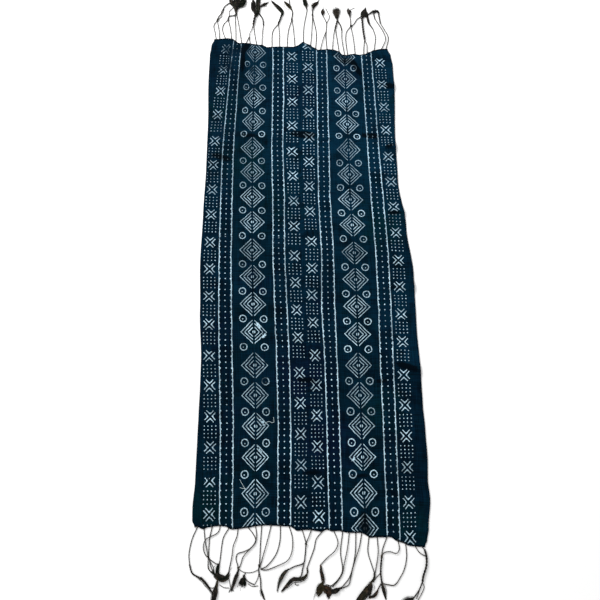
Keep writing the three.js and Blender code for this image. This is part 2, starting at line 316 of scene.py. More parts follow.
# Broad washes of the dye bath, greener above zero and more violet below it, and then painted highlights
HUE_WASHES = [
    Spot(157, 103, 100, 0.9), Spot(139, -304, 80, 0.7), Spot(208, -541, 90, 0.7),
    Spot(-212, -493, 90, 0.9), Spot(-66, 150, 80, 0.5), Spot(-140, 260, 110, 0.6),
    Spot(-200, 390, 80, 0.5), Spot(190, 400, 70, 0.4), Spot(-21, -231, 100, -0.9),
    Spot(41, -365, 100, -1.1), Spot(-203, -135, 80, -0.5), Spot(97, 477, 70, -0.6),
    Spot(-9, 425, 90, -0.6), Spot(11, -91, 70, -0.4), Spot(-120, -40, 80, -0.4),
    Spot(-150, -330, 80, -0.3),
]
# Painted highlights: lighter patches where light falls on the cloth, most of them on its right half
PAINTED_HIGHLIGHTS = [
    Spot(188, 480, 34, 0.8), Spot(180, 398, 40, 0.5), Spot(193, -113, 90, 0.7), Spot(139, -304, 60, 0.5),
    Spot(214, -185, 50, 0.8), Spot(189, 412, 60, 0.4), Spot(161, 247, 90, 0.5), Spot(157, 103, 80, 0.45),
    Spot(60, 300, 60, 0.3), Spot(-21, -300, 60, 0.2),
]


def spot_amount(spots, x, y):
    return sum(spot.amount * bump(math.hypot(x - spot.x, y - spot.y) / spot.radius) for spot in spots)


stencil_length = ROW_PITCH * ROWS_PER_PRINT
print(f"{len(PRINTS)} prints of a {STENCIL_WIDTH} by {stencil_length} mm stencil, twice across")

# %% [markdown]
# ## The woven sheet
# The sheet starts as a flat grid. Every point is carried to its place in the outline and lifted by the
# folds, and each face takes its stencil place from the print that it lies in, so a print may end
# sharply between two faces. The chart's tables are measured from the frame's middle, so a face's corners
# are shifted before they are looked up. A Solidify modifier then gives the cotton its thickness downwards.

# %% Make the sheet
SHEET_COLUMNS = 132
SHEET_ROWS = 310
THREADS_ACROSS = 460
THREADS_ALONG = 1100


def add_object(name, mesh):
    piece = bpy.data.objects.new(name, mesh)
    bpy.context.scene.collection.objects.link(piece)
    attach(piece, "root")
    return piece


def make_sheet():
    sheet = bmesh.new()
    bmesh.ops.create_grid(sheet, x_segments=SHEET_COLUMNS, y_segments=SHEET_ROWS, size=0.5)
    chart_map = sheet.loops.layers.uv.new("stencil")
    thread_map = sheet.loops.layers.uv.new("thread")
    # Painted shade of the sharp creases, kept as the crease attribute for the cloth material
    shade = sheet.verts.layers.float.new("crease")
    blot = sheet.verts.layers.float.new("blot")
    hue = sheet.verts.layers.float.new("hue")
    # Painted highlights, kept as an attribute for the cloth material
    lighter_with_painted_highlight = sheet.verts.layers.float.new("lighter_with_painted_highlight")
    shares = {vert: (vert.co.x + 0.5, vert.co.y + 0.5) for vert in sheet.verts}
    flat = {vert: place(*share) for vert, share in shares.items()}
    for face in sheet.faces:
        face.smooth = True
        corners = [(flat[vert][0] + SHIFT_X, flat[vert][1] + SHIFT_Y) for vert in face.verts]
        middle = [sum(values) / len(corners) for values in zip(*corners)]
        number = print_at(*middle)
        column = cross_column(chart_across(*middle))
        for loop, corner in zip(face.loops, corners):
            across, along = shares[loop.vert]
            loop[chart_map].uv = chart(*corner, number, column)
            loop[thread_map].uv = across * THREADS_ACROSS, along * THREADS_ALONG
    for vert in sheet.verts:
        x, y = flat[vert]
        vert[shade] = crease_shade(x, y)
        vert[blot] = spot_amount(BLOTS, x, y) - spot_amount(WORN_AND_SHADED_SPOTS, x, y)
        vert[hue] = spot_amount(HUE_WASHES, x, y)
        vert[lighter_with_painted_highlight] = spot_amount(PAINTED_HIGHLIGHTS, x, y)
        vert.co = in_frame(x, y, rise(x, y, shares[vert][1]) + CLOTH_THICKNESS)
    mesh = bpy.data.meshes.new("mud_cloth")
    sheet.to_mesh(mesh)
    sheet.free()
    return mesh


mud_cloth = add_object("mud_cloth", make_sheet())
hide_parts("cloth")
thickness = mud_cloth.modifiers.new("cotton thickness", "SOLIDIFY")
thickness.thickness = CLOTH_THICKNESS * MM
thickness.offset = -1
thickness.material_offset = 1
print(f"sheet of {len(mud_cloth.data.polygons)} faces")

# %% [markdown]
# ## The routes of the fringe
# The warp ends were twisted into thin cords. Where cords lay side by side they were twisted on together
# as a thicker arm, and the arms fray into brushes and felted clumps. A cord has its root on the rim and
# the points that it passes. An arm has its points, the width of its twisted stem, the share of its way
# where it begins to fray, the width of its tuft and how much of that width is left at the tip.

# %% Tables of the fringe, in millimetres
Cord = namedtuple("Cord", "root way")
Arm = namedtuple("Arm", "way stem fray tuft tip tone")
TONES = ("cord", "soot", "moss", "olive", "bark", "ash")
CORD, SOOT, MOSS, OLIVE, BARK, ASH = range(len(TONES))
FAR_CORDS = [
    Cord(-221, [(-225, 593), (-228, 610), (-220, 626)]), Cord(-213, [(-215, 595), (-220, 622)]),
    Cord(-199, [(-207, 599), (-205, 612), (-194, 627)]), Cord(-184, [(-190, 610), (-194, 625)]),
    Cord(-174, [(-175, 599), (-177, 634), (-176, 642)]),
    Cord(-160, [(-168, 610), (-172, 632), (-174, 642)]), Cord(-150, [(-146, 571), (-142, 581)]),
    Cord(-140, [(-142, 583), (-137, 599), (-133, 614)]),
    Cord(-124, [(-129, 583), (-131, 599), (-132, 613)]), Cord(-112, [(-111, 589), (-109, 611)]),
    Cord(-88, [(-86, 595), (-73, 615)]), Cord(-70, [(-71, 593), (-73, 615)]),
    Cord(-52, [(-49, 595), (-41, 626)]), Cord(-33, [(-36, 589), (-40, 626)]),
    Cord(-13, [(-12, 603), (-4, 653)]), Cord(4, [(7, 592), (9, 637)]),
    Cord(16, [(18, 588), (11, 628), (9, 638)]), Cord(27, [(34, 572), (42, 596)]),
    Cord(43, [(41, 581), (43, 617)]), Cord(56, [(59, 581), (63, 605)]), Cord(72, [(66, 585), (64, 605)]),
    Cord(85, [(79, 570), (79, 596)]), Cord(92, [(88, 574), (91, 594), (101, 608)]),
    Cord(110, [(106, 574), (101, 608)]), Cord(130, [(131, 552), (133, 572)]),
    Cord(138, [(138, 557), (133, 572)]), Cord(155, [(159, 579), (154, 600)]),
    Cord(172, [(183, 572), (178, 592), (159, 629)]), Cord(183, [(190, 577), (181, 599), (172, 617)]),
]
NEAR_CORDS = [
    Cord(-224, [(-235, -558), (-240, -587), (-238, -605)]),
    Cord(-212, [(-209, -560), (-202, -592), (-201, -611), (-194, -621)]),
    Cord(-195, [(-200, -555), (-201, -577), (-200, -593), (-192, -600), (-183, -605)]),
    Cord(-179, [(-184, -545), (-208, -559), (-212, -573), (-208, -586), (-200, -595), (-196, -609),
                (-190, -620)]),
    Cord(-162, [(-173, -555), (-176, -573), (-178, -593), (-180, -609)]),
    Cord(-144, [(-146, -552), (-153, -571), (-155, -589), (-161, -619)]),
    Cord(-125, [(-114, -548), (-109, -560), (-118, -574), (-132, -581), (-144, -585), (-147, -593),
                (-144, -605), (-142, -611)]),
    Cord(-110, [(-107, -552), (-110, -565), (-120, -576), (-133, -591), (-138, -606), (-141, -612)]),
    Cord(-97, [(-99, -562), (-100, -589), (-101, -611)]),
    Cord(-78, [(-86, -562), (-95, -593), (-100, -611)]),
    Cord(-60, [(-61, -562), (-69, -587), (-88, -609), (-98, -613)]),
    Cord(-43, [(-36, -556), (-37, -581), (-45, -597), (-67, -608), (-88, -615), (-98, -614)]),
    Cord(-17, [(-13, -552), (-9, -565)]), Cord(2, [(-3, -552), (-9, -565)]),
    Cord(25, [(11, -558), (7, -575), (-4, -603), (-7, -611)]),
    Cord(46, [(54, -564), (49, -578), (32, -593), (19, -606)]),
    Cord(64, [(59, -583), (62, -617), (52, -634), (39, -645)]),
    Cord(77, [(73, -573), (66, -603), (62, -621), (53, -635), (42, -646)]),
    Cord(90, [(88, -583), (83, -608), (75, -630), (61, -646)]),
    Cord(102, [(96, -573), (83, -609), (78, -630), (74, -642), (62, -648)]),
    Cord(116, [(113, -581), (119, -603), (125, -621)]),
    Cord(132, [(133, -583), (129, -607), (126, -621)]), Cord(152, [(142, -577), (140, -588)]),
    Cord(173, [(175, -576), (170, -584), (156, -581), (145, -583), (140, -589)]),
    Cord(188, [(189, -591), (183, -615), (169, -638)]), Cord(206, [(214, -582), (227, -590)]),
    Cord(219, [(227, -581), (229, -597)]),
]
FAR_ARMS = [
    Arm([(-220, 623), (-218, 633), (-208, 647), (-204, 662), (-192, 673)], 2.8, 1, 0, 1, SOOT),
    Arm([(-219, 626), (-209, 637), (-212, 645), (-205, 660), (-197, 670)], 1.8, 1, 0, 1, ASH),
    Arm([(-194, 625), (-192, 635), (-180, 638), (-175, 643)], 3, 1, 0, 1, SOOT),
    Arm([(-192, 635), (-191, 651), (-184, 659), (-181, 668)], 2, 1, 0, 1, ASH),
    Arm([(-175, 642), (-175, 659), (-171, 678), (-170, 686)], 3, 0, 27, 1, SOOT),
    Arm([(-172, 657), (-161, 668), (-155, 682)], 2, 0, 12, 0.9, MOSS),
    Arm([(-181, 661), (-187, 674), (-189, 682)], 2, 0, 9, 0.9, SOOT),
    Arm([(-133, 613), (-130, 632), (-126, 646)], 6, 1, 0, 1, SOOT),
    Arm([(-109, 611), (-111, 628), (-119, 642), (-121, 650)], 3.6, 1, 0, 1, SOOT),
    Arm([(-128, 636), (-133, 655), (-134, 670), (-136, 680)], 5, 0, 11, 0.7, SOOT),
    Arm([(-127, 634), (-122, 655), (-123, 674), (-122, 686)], 5, 0, 11, 1, MOSS),
    Arm([(-117, 662), (-109, 667), (-101, 672)], 4, 0.1, 6, 0.9, SOOT),
    Arm([(-73, 615), (-67, 633), (-63, 645), (-71, 658), (-88, 676)], 4.5, 0.25, 9, 0.5, MOSS),
    Arm([(-41, 625), (-40, 651), (-49, 665), (-59, 678)], 3, 0.4, 8, 0.4, OLIVE),
    Arm([(-41, 651), (-46, 670), (-47, 682)], 2.5, 1, 0, 1, OLIVE),
    Arm([(-4, 652), (-8, 669), (-12, 689)], 3, 0.05, 10, 0.8, MOSS),
    Arm([(9, 637), (9, 650), (13, 666), (21, 673), (24, 679)], 3, 0.25, 8, 0.2, SOOT),
    Arm([(43, 617), (38, 629), (34, 638), (34, 656)], 2.2, 0.5, 7.5, 0.5, SOOT),
    Arm([(43, 617), (50, 635), (46, 646), (41, 658)], 1.8, 1, 0, 1, ASH),
    Arm([(64, 604), (66, 614), (69, 626)], 4, 1, 0, 1, SOOT),
    Arm([(79, 596), (76, 610), (70, 622)], 3.2, 1, 0, 1, SOOT),
    Arm([(69, 620), (67, 637), (65, 656)], 4, 0, 16, 1, SOOT),
    Arm([(70, 632), (71, 642), (72, 655)], 2, 0, 6, 1, ASH),
    Arm([(101, 607), (100, 628), (98, 639), (97, 656)], 2.4, 0.5, 11, 1, ASH),
    Arm([(101, 607), (109, 615), (116, 627), (126, 635)], 2.4, 1, 0, 1, SOOT),
    Arm([(133, 572), (130, 596), (128, 628)], 5, 1, 0, 1, SOOT),
    Arm([(154, 600), (144, 618), (141, 639)], 3, 0.1, 4.6, 0.8, SOOT),
    Arm([(127, 628), (132, 640), (137, 656)], 5, 0, 13, 0.3, SOOT),
    Arm([(139, 632), (138, 641), (137, 650)], 3, 0, 10, 0.6, SOOT),
    Arm([(172, 617), (169, 637), (166, 649), (153, 647), (144, 640)], 3.4, 0.35, 4.6, 0.4, SOOT),
    Arm([(159, 629), (157, 643), (162, 648)], 3, 1, 0, 1, SOOT),
]
NEAR_ARMS = [
    Arm([(-238, -605), (-232, -621), (-214, -631), (-201, -644), (-194, -654)],
        3.4, 0.3, 4.4, 0.6, SOOT),
    Arm([(-195, -618), (-186, -625), (-176, -630), (-167, -630), (-161, -623)], 4, 0, 12, 0.5, MOSS),
    Arm([(-181, -603), (-182, -611), (-183, -623)], 3, 0, 7, 0.9, MOSS),
    Arm([(-182, -631), (-183, -642), (-186, -654), (-190, -671), (-192, -681)], 4, 0, 8, 0.8, OLIVE),
    Arm([(-142, -609), (-143, -619), (-147, -630), (-151, -642), (-155, -651)],
        3.4, 0.05, 5.6, 0.7, SOOT),
    Arm([(-128, -620), (-131, -627), (-132, -634), (-134, -643)], 2, 0.1, 14, 1, MOSS),
    Arm([(-129, -630), (-121, -637), (-110, -642)], 2.2, 1, 0, 1, SOOT),
    Arm([(-101, -605), (-102, -615), (-98, -634), (-97, -650), (-91, -667)], 2.8, 0.7, 4.2, 0.8, SOOT),
    Arm([(-9, -565), (-11, -587), (-14, -602), (-33, -609), (-50, -619), (-58, -631), (-62, -642),
         (-64, -653)], 2.6, 0.55, 5.4, 0.5, SOOT),
    Arm([(-13, -603), (-16, -613), (-20, -627), (-33, -631)], 2.6, 1, 0, 1, SOOT),
    Arm([(-7, -611), (-7, -621), (-13, -629), (-21, -632), (-35, -632), (-45, -641), (-54, -651)],
        3.4, 0.05, 7, 0.5, OLIVE),
    Arm([(19, -606), (20, -615), (23, -627), (25, -637)], 3.2, 0, 5, 1, BARK),
    Arm([(24, -634), (21, -642), (18, -650), (13, -660)], 2, 0, 14, 0.7, OLIVE),
    Arm([(24, -642), (31, -650), (35, -656), (34, -663)], 2, 0, 16, 0.5, BARK),
    Arm([(61, -647), (46, -653), (35, -655)], 4, 0, 7, 0.9, SOOT),
    Arm([(125, -621), (124, -630), (114, -644), (105, -658), (93, -671), (86, -681)],
        4, 0.2, 13, 0.6, OLIVE),
    Arm([(125, -627), (117, -640), (114, -662)], 3, 0.1, 8, 0.7, SOOT),
    Arm([(140, -588), (137, -619), (139, -640), (142, -654), (145, -666)], 3.8, 0.6, 5.4, 0.4, SOOT),
    Arm([(137, -640), (131, -650), (124, -661), (115, -665)], 2.5, 0.3, 5, 0.7, BARK),
    Arm([(169, -638), (162, -643), (152, -642), (142, -640)], 2.4, 1, 0, 1, CORD),
    Arm([(225, -577), (228, -591), (227, -607), (220, -627), (218, -637)], 4.5, 1, 0, 1, SOOT),
    Arm([(218, -637), (212, -650), (202, -663), (195, -670)], 2.6, 1, 0, 1, SOOT),
    Arm([(218, -637), (221, -646), (215, -659), (208, -670)], 1.8, 1, 0, 1, ASH),
    Arm([(216, -640), (211, -654), (205, -668)], 1.8, 1, 0, 1, ASH),
    Arm([(205, -661), (197, -667), (185, -671), (176, -675)], 2, 0.1, 9, 0.8, SOOT),
]
# Single threads that have come loose from their cords
FAR_THREADS = [
    [(102, 655), (111, 660)],
]
NEAR_THREADS = [
    [(-200, -645), (-193, -648), (-185, -646)], [(-178, -642), (-170, -647), (-159, -648)],
    [(-161, -627), (-158, -640), (-156, -650)], [(-155, -649), (-160, -656)],
    [(-154, -649), (-150, -654)], [(-141, -614), (-134, -618), (-126, -620), (-113, -619), (-102, -614)],
    [(-110, -642), (-104, -631), (-101, -617)], [(-123, -640), (-114, -645), (-103, -644)],
    [(-31, -639), (-28, -643), (-23, -642)], [(39, -644), (30, -642), (26, -646)],
    [(26, -647), (33, -650), (40, -651)], [(136, -621), (127, -631), (123, -638)],
    [(-202, -603), (-201, -613), (-194, -621)], [(-198, -599), (-192, -609), (-189, -619)],
]


def route_through(points, step):
    """A smooth curve through points on the floor, as points about one step apart."""
    points = [Vector(point) for point in points]
    points = [2 * points[0] - points[1], *points, 2 * points[-1] - points[-2]]
    route = []
    for a, b, c, d in zip(points, points[1:], points[2:], points[3:]):
        t1 = (b - a).length ** 0.5
        t2 = t1 + (c - b).length ** 0.5
        t3 = t2 + (d - c).length ** 0.5
        count = max(2, round((c - b).length / step))
        for i in range(count):
            t = mix(t1, t2, i / count)
            along = (t - t1) / (t2 - t1)
            bc = b.lerp(c, along)
            before = a.lerp(b, t / t1).lerp(bc, t / t2)
            after = bc.lerp(c.lerp(d, (t - t2) / (t3 - t2)), (t - t1) / (t3 - t1))
            route.append(before.lerp(after, along))
    route.append(points[-2])
    return route


def root_place(x, far):
    along = 1 if far else 0
    left, right = place(0, along)[0], place(1, along)[0]
    across = (x - left) / (right - left)
    return x, rim_y(across, far) + (-1 if far else 1) * EDGE_DEPTH / 2


print(f"{len(FAR_CORDS)} far cords and {len(NEAR_CORDS)} near cords")

# %% [markdown]
# ## Twisted cords
# A warp cord is two plies laid around each other. A ply is a line that winds around the cord's route, so
# each one is a poly spline on a small helix, and the curve's own bevel makes it round. The stem of an arm
# is the same twist, only wider. The rim of each end is a pair of such cords side by side, twisted
# opposite ways, from which the fringe cords leave. Each spline keeps a slot for the tone of its dye.

# %% Make the cords, stems, knots and rims
Yarn = namedtuple("Yarn", "ply offset turn step")
CORD_YARN = Yarn(0.56, 0.5, 6.5, 1.0)
RIM_YARN = Yarn(0.6, 0.5, 6.0, 1.0)
RIM_SAMPLES = 72
KNOT_TURNS = 2.5
KNOT_RADIUS = 1.5
KNOT_PLY = 0.75
KNOT_STEP = 12
KNOT_NEAR = 7
CROSSING_RISE = 1.2
STEM_HIDDEN = 0.3
LOOSE_PLY = 0.6
# The twist of a stem, as shares of its width, and the step of its route
STEM_PLY = 0.27
STEM_OFFSET = 0.23
STEM_TURN = 2.6
STEM_STEP = 1.2
# Each cord of a rim: its place as a share of the rim's depth, and the way of its twist
RIM_STRANDS = ((0.27, 1), (0.76, -1))


def stem_yarn(width):
    return Yarn(STEM_PLY * width, STEM_OFFSET * width, STEM_TURN * width, STEM_STEP)


def new_curve(name, sides_level, slots):
    curve = bpy.data.curves.new(name, "CURVE")
    curve.dimensions = "3D"
    curve.bevel_depth = MM
    curve.bevel_resolution = sides_level
    curve.use_fill_caps = True
    for _ in range(slots):
        curve.materials.append(None)
    return curve


def add_strand(curve, places, radii, tone=0):
    spline = curve.splines.new("POLY")
    spline.material_index = tone
    spline.points.add(len(places) - 1)
    for point, at, radius in zip(spline.points, places, radii):
        point.co = (*in_frame(*at), 1)
        point.radius = radius


def side_of(route, i):
    ahead = route[min(i + 1, len(route) - 1)] - route[max(i - 1, 0)]
    return Vector((ahead.y, -ahead.x)).normalized()


def add_twist(curve, route, yarn, tone, lift=0.0, hand=1):
    for ply in range(2):
        places = []
        for i, point in enumerate(route):
            angle = hand * math.tau * i * yarn.step / yarn.turn + ply * math.pi
            at = point + side_of(route, i) * yarn.offset * math.cos(angle)
            hump = lift * math.sin(math.pi * i / (len(route) - 1)) ** 2
            places.append((at.x, at.y, yarn.ply + yarn.offset + yarn.offset * math.sin(angle) + hump))
        add_strand(curve, places, [yarn.ply] * len(places), tone)


def add_knot(curve, join, toward):
    ahead = (Vector(toward) - Vector(join)).normalized()
    side = Vector((ahead.y, -ahead.x))
    height = KNOT_RADIUS + KNOT_PLY
    count = round(KNOT_TURNS * KNOT_STEP)
    places = []
    for i in range(count + 1):
        angle = math.tau * i / KNOT_STEP
        at = Vector(join) + ahead * (i / count * 2 * KNOT_RADIUS) + side * KNOT_RADIUS * math.cos(angle)
        places.append((at.x, at.y, height + KNOT_RADIUS * math.sin(angle)))
    add_strand(curve, places, [KNOT_PLY] * len(places), CORD)


def add_arm(curve, arm, cords):
    yarn = stem_yarn(arm.stem)
    route = route_through(arm.way, yarn.step)
    kept = route[: max(2, round(len(route) * min(1, arm.fray + STEM_HIDDEN)))]
    add_twist(curve, kept, yarn, arm.tone)
    start = Vector(arm.way[0])
    if sum((Vector(cord.way[-1]) - start).length < KNOT_NEAR for cord in cords) > 1:
        add_knot(curve, *arm.way[:2])


def add_loose_thread(curve, points):
    route = route_through(points, CORD_YARN.step)
    places = [(point.x, point.y, LOOSE_PLY) for point in route]
    add_strand(curve, places, [LOOSE_PLY] * len(places), CORD)


def finish_curve(curve):
    maker = bpy.data.objects.new(curve.name + "_route", curve)
    bpy.context.scene.collection.objects.link(maker)
    depsgraph = bpy.context.evaluated_depsgraph_get()
    mesh = bpy.data.meshes.new_from_object(maker.evaluated_get(depsgraph))
    bpy.data.objects.remove(maker)
    mesh.shade_smooth()
    return add_object(curve.name, mesh)


def make_cords(name, cords, arms, threads, far):
    curve = new_curve(name, 1, len(TONES))
    for i, cord in enumerate(cords):
        route = route_through([root_place(cord.root, far), *cord.way], CORD_YARN.step)
        add_twist(curve, route, CORD_YARN, CORD, lift=CROSSING_RISE * (i % 2))
    for arm in arms:
        add_arm(curve, arm, cords)
    for points in threads:
        add_loose_thread(curve, points)
    return finish_curve(curve)


def make_rim(name, far):
    curve = new_curve(name, 1, 1)
    inward = -1 if far else 1
    along = 1 if far else 0
    shares = [i / RIM_SAMPLES for i in range(RIM_SAMPLES + 1)]
    for strand, hand in RIM_STRANDS:
        line = [(place(u, along)[0], rim_y(u, far) + inward * strand * EDGE_DEPTH) for u in shares]
        add_twist(curve, route_through(line, RIM_YARN.step), RIM_YARN, 0, hand=hand)
    return finish_curve(curve)


far_cords = make_cords("far_cords", FAR_CORDS, FAR_ARMS, FAR_THREADS, True)
near_cords = make_cords("near_cords", NEAR_CORDS, NEAR_ARMS, NEAR_THREADS, False)
far_rim = make_rim("far_rim", True)
near_rim = make_rim("near_rim", False)
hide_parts("fringe_far")
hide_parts("fringe_near")
for piece in (far_cords, near_cords, far_rim, near_rim):
    print(piece.name, len(piece.data.polygons), "faces")

# %% [markdown]
# ## Frayed tufts
# Where an arm comes untwisted its fibres part into a few locks, some long and some broken off, each with
# its own cast of the dye. A brush closes again to a point, and a felted clump opens all the way to its
# end. Each fibre is a thin tapering line whose fan, start and reach are drawn from seeded random numbers,
# so that every run gives the same tuft.

# %% Make the tufts
Lock = namedtuple("Lock", "fan spread start reach height tone")
FIBRE_STEPS = 8
FIBRE_RADIUS = 0.45
FIBRE_ROUTE_STEP = 1.2
FIBRES_LEAST = 24
FIBRES_PER_MM = 7
LOCKS_LEAST = 3
LOCKS_PER_MM = 0.35
TUFT_HEIGHT = 4.2
# A lock: how far it fans out, how far its fibres spread, its latest start, its reach and its least height
LOCK_FAN = 0.4
LOCK_SPREAD = 0.7
LOCK_LATEST = 0.35
LOCK_SHORT = 0.78
LOCK_LONG = 1.04
LOCK_LOW = 0.3
# A fibre: how it departs from its lock
FIBRE_LATEST = 0.25
FIBRE_UNEVEN = 0.035
FIBRE_LOW = 0.5
FIBRE_WANDER = 0.04
FIBRE_FOOT = 1.2
STRAY_SHARE = 0.06
STRAY_FACTOR = 3
# Where a tuft is widest, as a share of its frayed part
CLUMP_WIDEST = 0.9
BRUSH_WIDEST = 0.55
# How far a fibre that outruns its route goes on, for a whole route
PAST_TIP = 60
chance = random.Random(61)


def taper(count):
    return [FIBRE_RADIUS * (1 - 0.5 * k / (count - 1)) for k in range(count)]


def part_locks(arm):
    count = round(LOCKS_LEAST + LOCKS_PER_MM * arm.tuft)
    locks = []
    for i in range(count):
        fan = mix(-LOCK_FAN, LOCK_FAN, (i + chance.random()) / count)
        start = mix(arm.fray, 1, chance.uniform(0, LOCK_LATEST))
        reach = mix(LOCK_SHORT, LOCK_LONG, chance.random() ** 0.5)
        tone = chance.choice([arm.tone, arm.tone, arm.tone, SOOT, CORD])
        height = chance.uniform(LOCK_LOW, 1.0) * TUFT_HEIGHT
        locks.append(Lock(fan, LOCK_SPREAD / count, start, reach, height, tone))
    return locks


def tuft_fibre(arm, lock, route):
    stray = STRAY_FACTOR if chance.random() < STRAY_SHARE else 1
    fan = lock.fan + chance.gauss(0, lock.spread) * stray
    reach = lock.reach + chance.gauss(0, FIBRE_UNEVEN) * stray
    start = mix(lock.start, reach, chance.uniform(0, FIBRE_LATEST))
    height = lock.height * chance.uniform(FIBRE_LOW, 1.0)
    wander = chance.gauss(0, FIBRE_WANDER) * arm.tuft * stray
    beat = chance.uniform(0.6, 1.7)
    widest = mix(arm.fray, 1, CLUMP_WIDEST if arm.tip == 1 else BRUSH_WIDEST)
    places = []
    for k in range(FIBRE_STEPS):
        share = mix(start, reach, k / (FIBRE_STEPS - 1))
        at = min(share, 1) * (len(route) - 1)
        i = min(int(at), len(route) - 2)
        ahead = (route[i + 1] - route[i]).normalized()
        spread = mix(arm.stem, arm.tuft, smooth_step(arm.fray, widest, share))
        spread *= mix(1, arm.tip, smooth_step(widest, 1.02, share))
        aside = fan * spread + wander * math.sin(beat * math.tau * share)
        point = route[i].lerp(route[i + 1], at - i) + side_of(route, i) * aside
        point += ahead * max(share - 1, 0) * PAST_TIP
        crown = math.sin(math.pi * min(max((share - start) / (reach - start), 0), 1)) ** 0.6
        z = FIBRE_RADIUS + mix(FIBRE_FOOT, height, crown) * (1 - 0.7 * smooth_step(0.75, 1.05, share))
        places.append((point.x, point.y, z))
    return places


def make_tufts(name, arms):
    curve = new_curve(name, 0, len(TONES))
    for arm in arms:
        if arm.tuft > 0:
            route = route_through(arm.way, FIBRE_ROUTE_STEP)
            locks = part_locks(arm)
            for i in range(round(FIBRES_LEAST + FIBRES_PER_MM * arm.tuft)):
                lock = locks[i % len(locks)]
                add_strand(curve, tuft_fibre(arm, lock, route), taper(FIBRE_STEPS), lock.tone)
    return finish_curve(curve)


far_tufts = make_tufts("far_tufts", FAR_ARMS)
near_tufts = make_tufts("near_tufts", NEAR_ARMS)
for piece in (far_tufts, near_tufts):
    print(piece.name, len(piece.data.polygons), "faces")

# %% [markdown]
# ## Stray threads
# A few bits of pale thread have worked loose from the weave and lie on its face. They are single strands
# that follow the height of the folds.

# %% Make the stray threads
STRAY_PLY = 0.42
STRAY_STEP = 1.0
STRAY_THREADS = [
    [(-92, -333), (-89, -329), (-83, -328), (-80, -330), (-75, -329), (-75, -325), (-76, -319)],
    [(-143, -443), (-138, -452), (-133, -460), (-132, -463)], [(-142, -459), (-137, -461), (-130, -461)],
]


def make_stray_threads():
    curve = new_curve("stray_threads", 1, 1)
    for points in STRAY_THREADS:
        route = route_through(points, STRAY_STEP)
        lifts = [rise(point.x, point.y, 0.5) + CLOTH_THICKNESS + STRAY_PLY for point in route]
        places = [(point.x, point.y, lift) for point, lift in zip(route, lifts)]
        add_strand(curve, places, [STRAY_PLY] * len(places))
    return finish_curve(curve)


stray_threads = make_stray_threads()
print(stray_threads.name, len(stray_threads.data.polygons), "faces")

# %% [markdown]
# ## Helpers for shader nodes
# The marks are worked out with Math nodes, so one small helper adds such a node and links or sets its
# inputs, and another starts a node group with named sockets. A group holds one motif or one effect.

# %% Node helpers


def start_group(name, inputs, outputs):
    tree = bpy.data.node_groups.new(name, "ShaderNodeTree")
    for socket, kind in inputs.items():
        tree.interface.new_socket(socket, in_out="INPUT", socket_type=kind)
    for socket, kind in outputs.items():
        tree.interface.new_socket(socket, in_out="OUTPUT", socket_type=kind)
    return tree, tree.nodes.new("NodeGroupInput").outputs, tree.nodes.new("NodeGroupOutput").inputs


def feed(tree, socket, value):
    if isinstance(value, bpy.types.NodeSocket):
        tree.links.new(value, socket)
    else:
        socket.default_value = value


def math_in(tree):
    def add(operation, *values):
        node = tree.nodes.new("ShaderNodeMath")
        node.operation = operation
        for socket, value in zip(node.inputs, values):
            feed(tree, socket, value)
        return node.outputs[0]
    return add


def use_group(tree, group, **values):
    node = tree.nodes.new("ShaderNodeGroup")
    node.node_tree = group
    for name, value in values.items():
        feed(tree, node.inputs[name.replace("_", " ")], value)
    return node.outputs


def add_noise(tree, vector, scale, detail=3.0, roughness=0.55):
    node = tree.nodes.new("ShaderNodeTexNoise")
    tree.links.new(vector, node.inputs["Vector"])
    node.inputs["Scale"].default_value = scale
    node.inputs["Detail"].default_value = detail
    node.inputs["Roughness"].default_value = roughness
    return node.outputs["Fac"]


def add_range(tree, value, low, high, to_low=0.0, to_high=1.0, soft=False):
    node = tree.nodes.new("ShaderNodeMapRange")
    node.interpolation_type = "SMOOTHSTEP" if soft else "LINEAR"
    for socket, number in zip(node.inputs, (value, low, high, to_low, to_high)):
        feed(tree, socket, number)
    return node.outputs[0]


def add_vector(tree, x, y, z=0.0):
    node = tree.nodes.new("ShaderNodeCombineXYZ")
    for socket, value in zip(node.inputs, (x, y, z)):
        feed(tree, socket, value)
    return node.outputs[0]


def add_mix(tree, share, first, second):
    node = tree.nodes.new("ShaderNodeMix")
    node.data_type = "RGBA"
    for socket, value in zip((node.inputs[0], node.inputs[6], node.inputs[7]), (share, first, second)):
        feed(tree, socket, value)
    return node.outputs[2]


NUMBER = "NodeSocketFloat"
VECTOR = "NodeSocketVector"
print("node helpers ready")

# %% [markdown]
# ## A stroke of dye
# Dye pushed through a stencil has a firm but soft edge. This group turns a distance from a stroke's
# middle line into a mask, and every motif uses it.

# %% Stroke group
STROKE_SOFT = 0.65


def make_stroke():
    inputs = {"Distance": NUMBER, "Half": NUMBER}
    tree, given, result = start_group("dye stroke", inputs, {"Mask": NUMBER})
    add = math_in(tree)
    outer = add("ADD", given["Half"], STROKE_SOFT)
    inner = add("SUBTRACT", given["Half"], STROKE_SOFT)
    feed(tree, result["Mask"], add_range(tree, given["Distance"], outer, inner, soft=True))
    return tree


STROKE = make_stroke()


def stroke(tree, distance, half):
    return use_group(tree, STROKE, Distance=distance, Half=half)["Mask"]


def length(add, x, y):
    return add("SQRT", add("ADD", add("MULTIPLY", x, x), add("MULTIPLY", y, y)))


def largest(add, *masks):
    result = masks[0]
    for mask in masks[1:]:
        result = add("MAXIMUM", result, mask)
    return result


print("stroke group:", STROKE.name)

# %% [markdown]
# ## The motifs
# Each motif is a group that reads a place in millimetres from the motif's middle. Nested diamonds are
# the sum of the two distances, split by a bare gap down the middle, around two half discs. A cross is
# four open corners that turn their backs to one another. Rings, dot grids and beaded lines are distances
# from points and lines. The small gaps are the bridges that hold a cut stencil together.

# %% Motif groups
PLACE = {"Across": NUMBER, "Along": NUMBER}
MASK = {"Mask": NUMBER}


